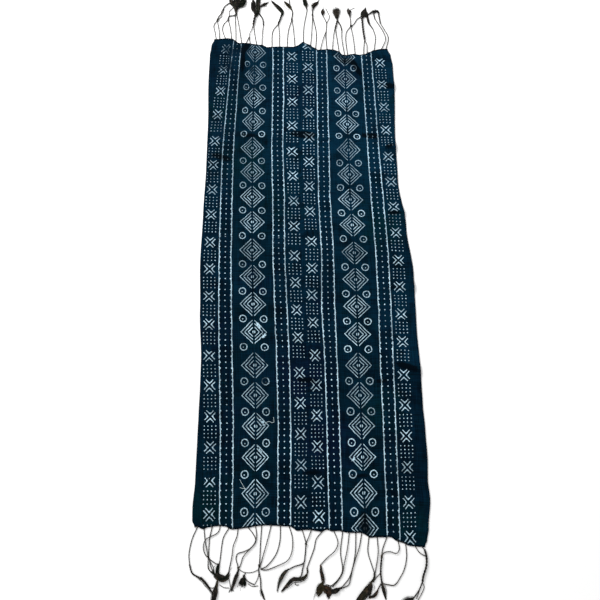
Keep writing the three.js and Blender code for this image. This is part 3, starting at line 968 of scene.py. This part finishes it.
def make_diamond(inner=12.3, pitch=7.55, outlines=3, half=1.0, gap=2.1, eye=3.4, slit=1.1):
    tree, given, result = start_group("nested diamond", PLACE, MASK)
    add = math_in(tree)
    x, y = add("ABSOLUTE", given["Across"]), add("ABSOLUTE", given["Along"])
    reach = add("ADD", x, y)
    step = add("FLOORED_MODULO", add("ADD", reach, pitch / 2 - inner % pitch), pitch)
    line = stroke(tree, add("ABSOLUTE", add("SUBTRACT", step, pitch / 2)), half)
    span = pitch * (outlines - 1)
    belt = stroke(tree, add("ABSOLUTE", add("SUBTRACT", reach, inner + span / 2)), span / 2 + pitch / 2)
    bare = add("SUBTRACT", 1.0, stroke(tree, x, gap))
    inside = add("LESS_THAN", reach, inner + 1.5 * pitch)
    bridged = add("SUBTRACT", 1.0, add("MULTIPLY", stroke(tree, y, 0.4), inside))
    outline = add("MULTIPLY", add("MULTIPLY", line, belt), add("MULTIPLY", bare, bridged))
    split = add("SUBTRACT", 1.0, stroke(tree, x, slit))
    pupils = add("MULTIPLY", stroke(tree, length(add, x, y), eye), split)
    feed(tree, result["Mask"], largest(add, outline, pupils))
    return tree


def make_ring(radius=7.1, half=0.9, dot=1.1, bridge=0.4):
    tree, given, result = start_group("eyed ring", PLACE, MASK)
    add = math_in(tree)
    x, y = given["Across"], given["Along"]
    ring = stroke(tree, add("ABSOLUTE", add("SUBTRACT", length(add, x, y), radius)), half)
    turned_x = add("ABSOLUTE", add("ADD", x, add("MULTIPLY", y, 0.35)))
    turned_y = add("ABSOLUTE", add("SUBTRACT", y, add("MULTIPLY", x, 0.35)))
    bridged = stroke(tree, add("MINIMUM", turned_x, turned_y), bridge)
    arcs = add("MULTIPLY", ring, add("SUBTRACT", 1.0, add("MULTIPLY", bridged, 0.7)))
    pupil = stroke(tree, length(add, add("SUBTRACT", x, 0.5), add("SUBTRACT", y, 1.1)), dot)
    feed(tree, result["Mask"], largest(add, arcs, pupil))
    return tree


def make_cross(back=4.3, half=1.05, reach=19.2):
    tree, given, result = start_group("four corner cross", PLACE, MASK)
    add = math_in(tree)
    x, y = add("ABSOLUTE", given["Across"]), add("ABSOLUTE", given["Along"])
    bent = add("ABSOLUTE", add("SUBTRACT", add("ABSOLUTE", add("SUBTRACT", x, y)), back))
    arms = add("MULTIPLY", stroke(tree, bent, half), stroke(tree, add("ADD", x, y), reach))
    outward = add("SUBTRACT", add("MAXIMUM", x, y), back + 1.3)
    corner = stroke(tree, length(add, outward, add("MINIMUM", x, y)), 1.5)
    feed(tree, result["Mask"], largest(add, arms, corner))
    return tree


def make_dot_grid(wide=7.9, tall=7.5, dot=1.05):
    tree, given, result = start_group("dot grid", PLACE, MASK)
    add = math_in(tree)
    x = add("SUBTRACT", add("FLOORED_MODULO", given["Across"], wide), wide / 2)
    y = add("SUBTRACT", add("FLOORED_MODULO", given["Along"], tall), tall / 2)
    block_x = stroke(tree, add("ABSOLUTE", given["Across"]), 2 * wide)
    block_y = stroke(tree, add("ABSOLUTE", given["Along"]), 2 * tall)
    dots = stroke(tree, length(add, x, y), dot)
    feed(tree, result["Mask"], add("MULTIPLY", dots, add("MULTIPLY", block_x, block_y)))
    return tree


def make_beaded_lines(apart=13.4, half=0.85, bead=1.75, dot=1.25, pitch=ROW_PITCH / 5, skipped=0.09):
    tree, given, result = start_group("beaded lines and dots", {**PLACE, "Pair": NUMBER}, MASK)
    add = math_in(tree)
    x = add("ABSOLUTE", given["Across"])
    y = add("SUBTRACT", add("FLOORED_MODULO", given["Along"], pitch), pitch / 2)
    cell = tree.nodes.new("ShaderNodeTexWhiteNoise")
    cell.noise_dimensions = "3D"
    number = add("FLOOR", add("DIVIDE", given["Along"], pitch))
    cell_spot = add_vector(tree, number, add("SIGN", given["Across"]), given["Pair"])
    feed(tree, cell.inputs["Vector"], cell_spot)
    between = stroke(tree, add("SUBTRACT", pitch / 2, add("ABSOLUTE", y)), 1.3)
    skip = add("MULTIPLY", between, add("LESS_THAN", cell.outputs["Value"], skipped))
    line = stroke(tree, add("ABSOLUTE", add("SUBTRACT", x, apart)), half)
    line = add("MULTIPLY", line, add("SUBTRACT", 1.0, skip))
    beads = stroke(tree, length(add, add("SUBTRACT", x, apart - 0.9), y), bead)
    dots = stroke(tree, length(add, x, y), dot)
    feed(tree, result["Mask"], largest(add, line, beads, dots))
    return tree


DIAMOND = make_diamond()
RING = make_ring()
CROSS = make_cross()
DOT_GRID = make_dot_grid()
BEADED_LINES = make_beaded_lines()
print("motifs:", ", ".join(tree.name for tree in (DIAMOND, RING, CROSS, DOT_GRID, BEADED_LINES)))

# %% [markdown]
# ## The whole stencil
# This group reads the chart's UV map and lays every motif in its place: the diamonds in the middle of
# each half, the rings below them, a pair of beaded lines on both sides, and a column of crosses and dot
# grids outside those. A slow noise shifts the place a little, as a hand does, and another one thins the
# dye, so some marks are faint and some are blotted.

# %% Stencil group
RING_COLUMN = 22
RING_BELOW = 0.535
LINE_COLUMN = 59.7
CROSS_ROWS = (-0.24, 0.19, -0.40, 0.28)
WOBBLE_SLOW = 1.5
WOBBLE_FAST = 1.0
SLOW_SCALE = 0.03
FAST_SCALE = 0.16
# How many rows above its first diamond row a print may begin
PRINT_LEAD = 0.75
# Half the softness of a mark's ragged edge, and the width of a patch that took the dye alike
MARK_EDGE = 0.22
PATCH_WIDTH = 31.0
DIAMOND_ZONE = 40.0
# The first two diamond rows of every print but the last took less dye
THIN_ROWS = 0.34


def make_stencil():
    tree, given, result = start_group(
        "mud cloth stencil", {"Chart": VECTOR}, {"Marks": NUMBER, "Column": NUMBER, "Dye": NUMBER})
    add = math_in(tree)
    split = tree.nodes.new("ShaderNodeSeparateXYZ")
    tree.links.new(given["Chart"], split.inputs[0])
    across_mm = add("MULTIPLY", split.outputs[0], STENCIL_WIDTH)
    along_mm = add("MULTIPLY", split.outputs[1], ROW_PITCH)

    def wobble(at, scale, amount):
        return add("MULTIPLY", add("SUBTRACT", add_noise(tree, at, scale, 2), 0.5), amount * 2)

    spot = add_vector(tree, across_mm, along_mm)
    slow_x = wobble(spot, SLOW_SCALE, WOBBLE_SLOW)
    fast_x = wobble(spot, FAST_SCALE, WOBBLE_FAST)
    far_spot = add_vector(tree, add("ADD", across_mm, 700), along_mm, 90.0)
    slow_y = wobble(far_spot, SLOW_SCALE, WOBBLE_SLOW)
    fast_y = wobble(far_spot, FAST_SCALE, WOBBLE_FAST)
    across_mm = add("ADD", across_mm, add("ADD", slow_x, fast_x))
    along_mm = add("ADD", along_mm, add("ADD", slow_y, fast_y))
    row = add("DIVIDE", along_mm, ROW_PITCH)
    number = add("FLOOR", add("DIVIDE", add("ADD", row, PRINT_LEAD), PRINT_STRIDE))
    row = add("SUBTRACT", row, add("MULTIPLY", number, PRINT_STRIDE))

    half = add("GREATER_THAN", across_mm, STENCIL_WIDTH / 2)
    x = add("SUBTRACT", across_mm, add("MULTIPLY", half, STENCIL_WIDTH))
    side = add("SIGN", x)
    width = add("ABSOLUTE", x)
    right = add("GREATER_THAN", x, 0.0)

    def lay(motif, across, shift):
        moved = add("SUBTRACT", add("ADD", row, 0.5), shift)
        along = add("MULTIPLY", add("SUBTRACT", add("FRACT", moved), 0.5), ROW_PITCH)
        middle = (ROWS_PER_PRINT - 1) / 2
        from_middle = add("ABSOLUTE", add("SUBTRACT", add("FLOOR", moved), middle))
        in_print = add("LESS_THAN", from_middle, ROWS_PER_PRINT / 2)
        return add("MULTIPLY", use_group(tree, motif, Across=across, Along=along)["Mask"], in_print)

    def pick(first, second, switch):
        return add("ADD", first, add("MULTIPLY", switch, add("SUBTRACT", second, first)))

    diamond = lay(DIAMOND, x, 0.0)
    ring = lay(RING, add("SUBTRACT", width, RING_COLUMN), RING_BELOW)
    pair = add("ADD", side, add("MULTIPLY", half, 3.0))
    beside = add("SUBTRACT", width, LINE_COLUMN)
    lines = use_group(tree, BEADED_LINES, Across=beside, Along=along_mm, Pair=pair)["Mask"]
    shift = pick(
        pick(CROSS_ROWS[0], CROSS_ROWS[2], half), pick(CROSS_ROWS[1], CROSS_ROWS[3], half), right)
    column_x = add("MULTIPLY", side, add("SUBTRACT", width, CROSS_COLUMN))
    cross = lay(CROSS, column_x, shift)
    dots = lay(DOT_GRID, column_x, add("ADD", shift, 0.5))
    marks = largest(add, diamond, ring, lines, cross, dots)
    cut = add_range(tree, add_noise(tree, spot, 0.11, 3), 0.3, 0.7, 0.25, 0.75)
    marks = add_range(tree, marks, add("SUBTRACT", cut, MARK_EDGE), add("ADD", cut, MARK_EDGE), soft=True)

    cell = tree.nodes.new("ShaderNodeTexWhiteNoise")
    cell.noise_dimensions = "3D"
    column = add("MULTIPLY", side, add("ROUND", add("DIVIDE", width, PATCH_WIDTH)))
    half_row = add("FLOOR", add("ADD", add("MULTIPLY", add("DIVIDE", along_mm, ROW_PITCH), 2.0), 0.5))
    cell_spot = add_vector(tree, column, half_row, half)
    tree.links.new(cell_spot, cell.inputs["Vector"])
    by_cell = add_range(tree, cell.outputs["Value"], 0.0, 1.0, 0.6, 1.0)
    patch = add_range(tree, add_noise(tree, spot, 0.022, 3), 0.3, 0.55, 0.6, 1.0)
    fine = add_range(tree, add_noise(tree, spot, 0.45, 2), 0.34, 0.57, 0.4, 1.0)
    thin = add_range(tree, row, 2.4, 0.9, 0.0, THIN_ROWS, soft=True)
    thin = add("MULTIPLY", thin, add("LESS_THAN", number, len(PRINTS) - 1.5))
    by_row = add("SUBTRACT", 1.0, add("MULTIPLY", thin, add("LESS_THAN", width, DIAMOND_ZONE)))
    dye = add("MULTIPLY", add("MULTIPLY", by_cell, by_row), add("MULTIPLY", patch, fine))
    feed(tree, result["Marks"], marks)
    feed(tree, result["Column"], width)
    feed(tree, result["Dye"], dye)
    return tree


STENCIL = make_stencil()
print(f"{STENCIL.name}: {len(STENCIL.nodes)} nodes")

# %% [markdown]
# ## Handspun cotton
# Both the cloth and the cords are handspun cotton: slubs make some threads thicker and darker than
# others. The weave group gives the height of a plain weave and a mask of slubs from a thread count in
# millimetres, and the cord material uses the same slub idea along its own surface.

# %% Weave group
THREAD_PITCH = 1.15


def make_weave():
    tree, given, result = start_group(
        "handspun weave", {"Thread": VECTOR}, {"Height": NUMBER, "Slub": NUMBER})
    add = math_in(tree)
    split = tree.nodes.new("ShaderNodeSeparateXYZ")
    tree.links.new(given["Thread"], split.inputs[0])
    turn = math.pi / THREAD_PITCH
    warp = add("SINE", add("MULTIPLY", split.outputs[0], turn))
    weft = add("SINE", add("MULTIPLY", split.outputs[1], turn))
    height = add("ABSOLUTE", add("MULTIPLY", warp, weft))
    long_spot = add_vector(
        tree, add("MULTIPLY", split.outputs[0], 1.0), add("MULTIPLY", split.outputs[1], 0.03))
    cross_spot = add_vector(
        tree, add("MULTIPLY", split.outputs[0], 0.03), add("MULTIPLY", split.outputs[1], 1.0), 40.0)
    warp_slub = add_noise(tree, long_spot, 0.5, 2)
    weft_slub = add_noise(tree, cross_spot, 0.5, 2)
    slub = add("MULTIPLY", add("ADD", warp_slub, weft_slub), 0.5)
    feed(tree, result["Height"], add("ADD", height, slub))
    feed(tree, result["Slub"], slub)
    return tree


WEAVE = make_weave()
print("weave group:", WEAVE.name)

# %% [markdown]
# ## Indigo cloth
# The ground is a deep indigo, greener between the diamonds and closer to navy under the dots, and lighter
# towards its far end, where a painted shade of a fold keeps the left side darker. Painted highlights
# lighten some patches, and a painted shade darkens the sharp creases and dulls the marks in them. The
# marks lie on it in a pale, slightly blue white that the dye mask thins. The material reads both UV maps,
# so nothing slides on the folds.

# %% Cloth materials


def linear(red, green, blue):
    def channel(value):
        value /= 255
        return value / 12.92 if value <= 0.04045 else ((value + 0.055) / 1.055) ** 2.4
    return channel(red), channel(green), channel(blue), 1.0


INDIGO = linear(1, 17, 30)
TEAL = linear(1, 20, 31)
NAVY = linear(1, 15, 28)
# A lighter indigo: for lighter threads, the lighter far end and the painted highlights
LIGHT_INDIGO_AND_HIGHLIGHT = linear(4, 38, 58)
GREENISH = linear(1, 31, 35)
VIOLET = linear(5, 17, 39)
NIGHT = linear(1, 6, 12)
CHALK = linear(206, 239, 255)
FAR_CHALK = linear(196, 232, 252)
WEAVE_DEPTH = 0.0004
WEAVE_STRENGTH = 0.5


def new_material(name, roughness):
    material = bpy.data.materials.new(name)
    material.use_nodes = True
    shader = material.node_tree.nodes["Principled BSDF"]
    shader.inputs["Roughness"].default_value = roughness
    shader.inputs["Specular IOR Level"].default_value = 0.02
    return material, material.node_tree, shader


def uv_map(tree, name):
    node = tree.nodes.new("ShaderNodeUVMap")
    node.uv_map = name
    return node.outputs[0]


def own_attribute(tree, name):
    node = tree.nodes.new("ShaderNodeAttribute")
    node.attribute_name = name
    return node.outputs["Fac"]


def add_bump(tree, shader, height, distance, strength):
    node = tree.nodes.new("ShaderNodeBump")
    node.inputs["Distance"].default_value = distance
    node.inputs["Strength"].default_value = strength
    feed(tree, node.inputs["Height"], height)
    tree.links.new(node.outputs[0], shader.inputs["Normal"])


def make_cloth_face():
    material, tree, shader = new_material("indigo_cloth", 0.92)
    add = math_in(tree)
    stencil = use_group(tree, STENCIL, Chart=uv_map(tree, "stencil"))
    thread = uv_map(tree, "thread")
    weave = use_group(tree, WEAVE, Thread=thread)
    split = tree.nodes.new("ShaderNodeSeparateXYZ")
    tree.links.new(thread, split.inputs[0])
    in_diamonds = add_range(tree, stencil["Column"], 48.0, 40.0, soft=True)
    in_dots = add("MULTIPLY", add_range(tree, stencil["Column"], 40.0, 48.0, soft=True),
                  add_range(tree, stencil["Column"], 80.0, 72.0, soft=True))
    ground = add_mix(tree, in_diamonds, INDIGO, TEAL)
    ground = add_mix(tree, in_dots, ground, NAVY)
    ragged = add("SUBTRACT", add_noise(tree, thread, 0.3, 3), 0.5)
    # Lighter towards the far end, and less so at the left, where a painted shade of the fold keeps it
    # darker
    to_far = add_range(tree, split.outputs[1], 250.0, 1000.0, 0.0, 0.6, soft=True)
    painted_shade_at_left = add_range(tree, split.outputs[0], 40.0, 260.0, 0.22, 1.0, soft=True)
    lighter_far_shaded_left = add("MULTIPLY", to_far, painted_shade_at_left)
    blotch = add_range(tree, add_noise(tree, thread, 0.011, 3), 0.4, 0.66, 0.0, 0.35)
    # The far end, random blotches and the painted highlights lighten the ground
    lighter_with_painted_highlight = add("ADD", add("ADD", lighter_far_shaded_left, blotch), add("MULTIPLY", own_attribute(tree, "lighter_with_painted_highlight"), 0.8))
    ground = add_mix(tree, add("MINIMUM", lighter_with_painted_highlight, 1.1), ground, LIGHT_INDIGO_AND_HIGHLIGHT)
    cast = add("MULTIPLY", add("SUBTRACT", add_noise(tree, thread, 0.05, 3), 0.5), 2.4)
    hue = add("ADD", own_attribute(tree, "hue"), cast)
    ground = add_mix(tree, add_range(tree, hue, 0.1, 1.0, 0.0, 0.8), ground, GREENISH)
    ground = add_mix(tree, add_range(tree, hue, -0.1, -1.0, 0.0, 0.8), ground, VIOLET)
    shade = add_range(tree, add_noise(tree, thread, 0.03, 4), 0.5, 0.3, 0.0, 0.7)
    ground = add_mix(tree, shade, ground, NIGHT)
    ground = add_mix(tree, add_range(tree, weave["Slub"], 0.5, 0.36, 0.0, 0.8), ground, NIGHT)
    ground = add_mix(tree, add_range(tree, weave["Slub"], 0.52, 0.66, 0.0, 0.6), ground, LIGHT_INDIGO_AND_HIGHLIGHT)
    # Painted shade: the ground is darkened towards NIGHT along the sharp creases
    crease_shade_mask = add("ADD", own_attribute(tree, "crease"), ragged)
    ground = add_mix(tree, add_range(tree, crease_shade_mask, 0.2, 0.75, 0.0, 0.92, soft=True), ground, NIGHT)
    blot = own_attribute(tree, "blot")
    run = add_range(tree, add("ADD", blot, add("MULTIPLY", ragged, 1.6)), 0.45, 0.8, 0.0, 0.75, soft=True)
    # Marks fade in worn spots, and in spots of painted shade where a crease hides them
    worn = add_range(tree, add("SUBTRACT", blot, ragged), -0.25, -0.7, 1.0, 0.12, soft=True)
    to_end = add_range(tree, split.outputs[1], 450.0, 950.0, soft=True)
    to_left = add_range(tree, split.outputs[0], 200.0, 60.0, 0.0, 0.32, soft=True)
    chalk = add_mix(tree, to_end, CHALK, FAR_CHALK)
    weak = add("SUBTRACT", 1.0, add("MULTIPLY", to_end, to_left))
    dye = add("MULTIPLY", stencil["Dye"], add("MULTIPLY", worn, weak))
    # Painted shade: the marks are dulled in the sharp creases too
    crease_shade_on_marks = add_range(tree, crease_shade_mask, 0.25, 0.8, 1.0, 0.35, soft=True)
    marks = add("MULTIPLY", largest(add, add("MULTIPLY", stencil["Marks"], dye), run), crease_shade_on_marks)
    feed(tree, shader.inputs["Base Color"], add_mix(tree, marks, ground, chalk))
    add_bump(tree, shader, weave["Height"], WEAVE_DEPTH, WEAVE_STRENGTH)
    return material


def make_cloth_back():
    material, tree, shader = new_material("indigo_cloth_back", 0.94)
    thread = uv_map(tree, "thread")
    weave = use_group(tree, WEAVE, Thread=thread)
    cloud = add_range(tree, add_noise(tree, thread, 0.014, 4), 0.35, 0.65)
    feed(tree, shader.inputs["Base Color"], add_mix(tree, cloud, NAVY, INDIGO))
    add_bump(tree, shader, weave["Height"], WEAVE_DEPTH, WEAVE_STRENGTH)
    return material


mud_cloth.data.materials.append(make_cloth_face())
mud_cloth.data.materials.append(make_cloth_back())
print("cloth materials:", [material.name for material in mud_cloth.data.materials])

# %% [markdown]
# ## Dark cord
# The cords and tufts are the loose ends of the warp after many baths of dye: nearly black, with a green,
# olive, brown or grey cast from tuft to tuft, and paler where the fibres have worn open. The rims are as
# blue as the cloth, and the stray threads are pale. The colour follows Object coordinates, because a cord
# is seen whole and no pattern runs along it.

# %% Cord materials
Tone = namedtuple("Tone", "ground tinge worn")
TONE_COLOURS = {
    "cord": Tone(linear(38, 36, 35), linear(40, 44, 37), linear(78, 66, 56)),
    "soot": Tone(linear(26, 26, 25), linear(36, 35, 33), linear(62, 56, 50)),
    "moss": Tone(linear(10, 18, 14), linear(20, 27, 22), linear(42, 44, 36)),
    "olive": Tone(linear(32, 32, 24), linear(46, 44, 32), linear(72, 62, 46)),
    "bark": Tone(linear(40, 31, 25), linear(26, 24, 20), linear(84, 60, 44)),
    "ash": Tone(linear(74, 70, 67), linear(52, 50, 48), linear(116, 106, 100)),
}


def make_cord_material(name, tone):
    material, tree, shader = new_material(name, 0.95)
    spot = tree.nodes.new("ShaderNodeTexCoord").outputs["Object"]
    tint = add_range(tree, add_noise(tree, spot, 70.0, 2), 0.4, 0.62)
    colour = add_mix(tree, tint, tone.ground, tone.tinge)
    patch = add_range(tree, add_noise(tree, spot, 190.0, 3), 0.5, 0.68, 0.0, 0.85)
    colour = add_mix(tree, patch, colour, tone.worn)
    feed(tree, shader.inputs["Base Color"], colour)
    add_bump(tree, shader, add_noise(tree, spot, 2600.0, 2), 0.0003, 0.4)
    return material


tone_materials = [make_cord_material("dark_" + name, TONE_COLOURS[name]) for name in TONES]
for piece in (far_cords, near_cords, far_tufts, near_tufts):
    for slot, material in enumerate(tone_materials):
        piece.data.materials[slot] = material
rim_material = make_cord_material("indigo_rim", Tone(NAVY, NIGHT, INDIGO))
for piece in (far_rim, near_rim):
    piece.data.materials[0] = rim_material
PALE = Tone(linear(184, 202, 206), linear(160, 178, 182), linear(204, 218, 220))
stray_threads.data.materials[0] = make_cord_material("pale_thread", PALE)
print("cord materials:", ", ".join(material.name for material in tone_materials))

# %% [markdown]
# ## Floor, light and camera
# The cloth lies on a pale floor under a wide soft light. The camera looks down on it from a standing
# person's height, a little short of straight above, so the near end looks wider than the far end.

# %% Stage
PHOTO_SIDE = 600
FOCAL_PIXELS = 672
CAMERA_DISTANCE = 1.451
CAMERA_TILT = 14
AIM = (-21, -69)
FLOOR_HALF = 4
FLOOR_BELOW = 0.4
FLOOR_WHITE = (0.93, 0.93, 0.93, 1)
WINDOW_PLACE = (-1.7, 1.6, 1.7)
WINDOW_POWER = 90
WINDOW_SIZE = 1.6
ROOM_WHITE = (1, 1, 1, 1)
ROOM_STRENGTH = 0.76


def make_floor():
    floor = bmesh.new()
    bmesh.ops.create_grid(floor, x_segments=1, y_segments=1, size=FLOOR_HALF)
    bmesh.ops.translate(floor, verts=floor.verts, vec=(0, 0, -FLOOR_BELOW * MM))
    mesh = bpy.data.meshes.new("floor")
    floor.to_mesh(mesh)
    floor.free()
    material, _, shader = new_material("pale_floor", 0.9)
    shader.inputs["Base Color"].default_value = FLOOR_WHITE
    mesh.materials.append(material)
    piece = bpy.data.objects.new("floor", mesh)
    bpy.context.scene.collection.objects.link(piece)


def make_light(name, place, power, size):
    light = bpy.data.lights.new(name, "AREA")
    light.energy = power
    light.size = size
    lamp = bpy.data.objects.new(name, light)
    lamp.location = place
    lamp.rotation_euler = (-Vector(place)).to_track_quat("-Z", "Y").to_euler()
    bpy.context.scene.collection.objects.link(lamp)


def make_camera():
    camera = bpy.data.objects.new("camera", bpy.data.cameras.new("camera"))
    tilt = math.radians(CAMERA_TILT)
    away = Vector((0, -math.sin(tilt), math.cos(tilt))) * CAMERA_DISTANCE
    camera.location = in_frame(*AIM) + away
    camera.rotation_euler = (tilt, 0, 0)
    camera.data.sensor_width = 36
    camera.data.lens = camera.data.sensor_width * FOCAL_PIXELS / PHOTO_SIDE
    bpy.context.scene.collection.objects.link(camera)
    bpy.context.scene.camera = camera


make_floor()
make_light("window_light", WINDOW_PLACE, WINDOW_POWER, WINDOW_SIZE)
make_camera()
world = bpy.data.worlds.new("soft_room")
world.use_nodes = True
background = world.node_tree.nodes["Background"]
background.inputs["Color"].default_value = ROOM_WHITE
background.inputs["Strength"].default_value = ROOM_STRENGTH
bpy.context.scene.world = world
bpy.context.scene.view_settings.view_transform = "Standard"
print("camera at", [round(value, 3) for value in bpy.context.scene.camera.location])
